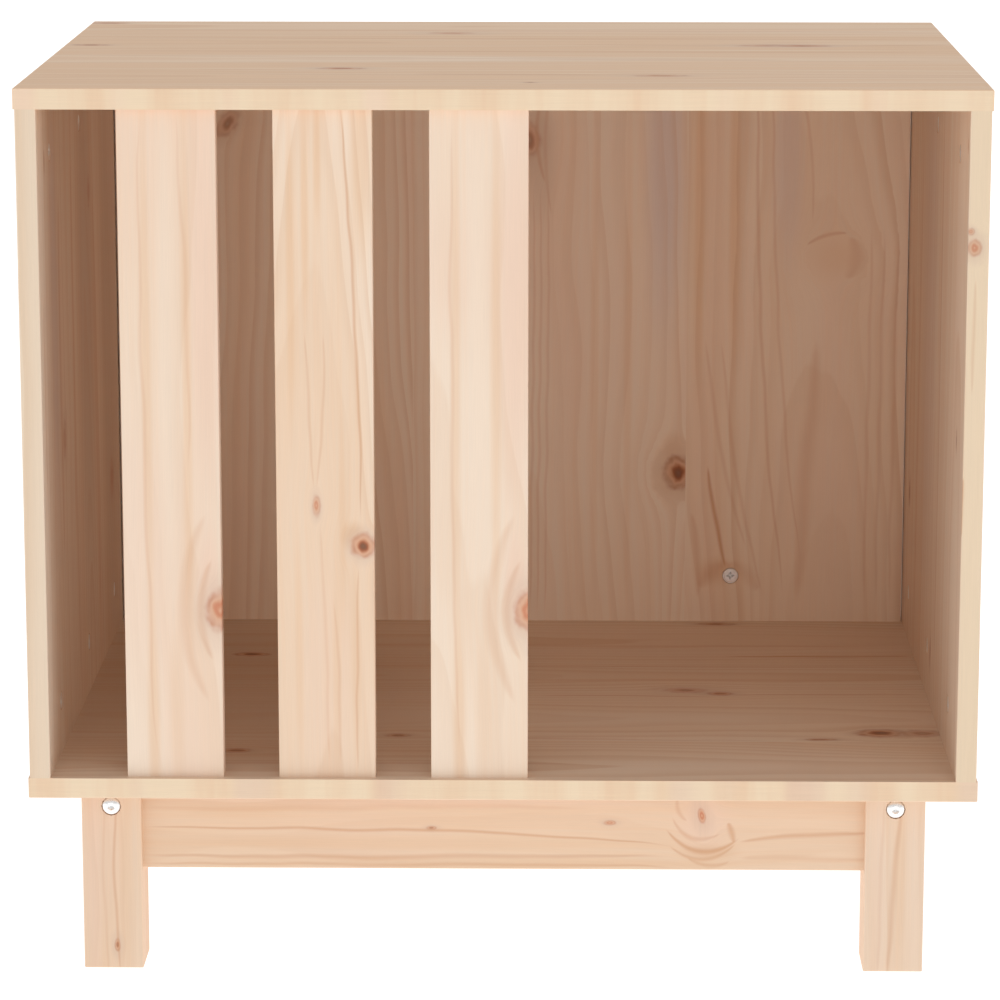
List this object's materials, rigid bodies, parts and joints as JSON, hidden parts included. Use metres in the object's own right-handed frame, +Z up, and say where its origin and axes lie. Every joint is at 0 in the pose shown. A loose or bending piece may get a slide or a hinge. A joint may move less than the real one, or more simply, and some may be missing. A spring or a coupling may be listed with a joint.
{
  "type": "dog house",
  "caption": "Raised pine dog house: an open-fronted board box with vertical slats over half its front, on a low frame of square legs and rails.",
  "frame": {"origin": "on the ground, under the middle of the house's box", "axes": "+X to the right as seen from the front, +Y from the open front to the back, +Z up"},
  "size_m": [0.6, 0.45, 0.57],
  "materials": {
    "panel_pine": "bare sanded pine",
    "slat_pine": "bare sanded pine",
    "frame_pine": "bare sanded pine",
    "dowel_wood": "bare beech",
    "cast_zinc": "dull cast zinc",
    "plated_steel": "bright zinc plate"
  },
  "bodies": {
    "root": {"top_panel": "panel_pine", "floor_panel": "panel_pine", "left_side_panel": "panel_pine", "right_side_panel": "panel_pine", "back_panel": "panel_pine", "slat_1": "slat_pine", "slat_2": "slat_pine", "slat_3": "slat_pine", "front_left_leg": "frame_pine", "front_right_leg": "frame_pine", "rear_left_leg": "frame_pine", "rear_right_leg": "frame_pine", "front_rail": "frame_pine", "rear_rail": "frame_pine", "left_rail": "frame_pine", "right_rail": "frame_pine", "side_cam_nuts": "cast_zinc", "back_cam_nuts": "cast_zinc", "side_cam_bolts": "plated_steel", "back_cam_bolts": "plated_steel", "side_dowels": "dowel_wood", "slat_dowels": "dowel_wood", "leg_dowels": "dowel_wood", "leg_bolts": "plated_steel", "barrel_nuts": "plated_steel", "base_screws": "plated_steel"}
  },
  "joints": []
}
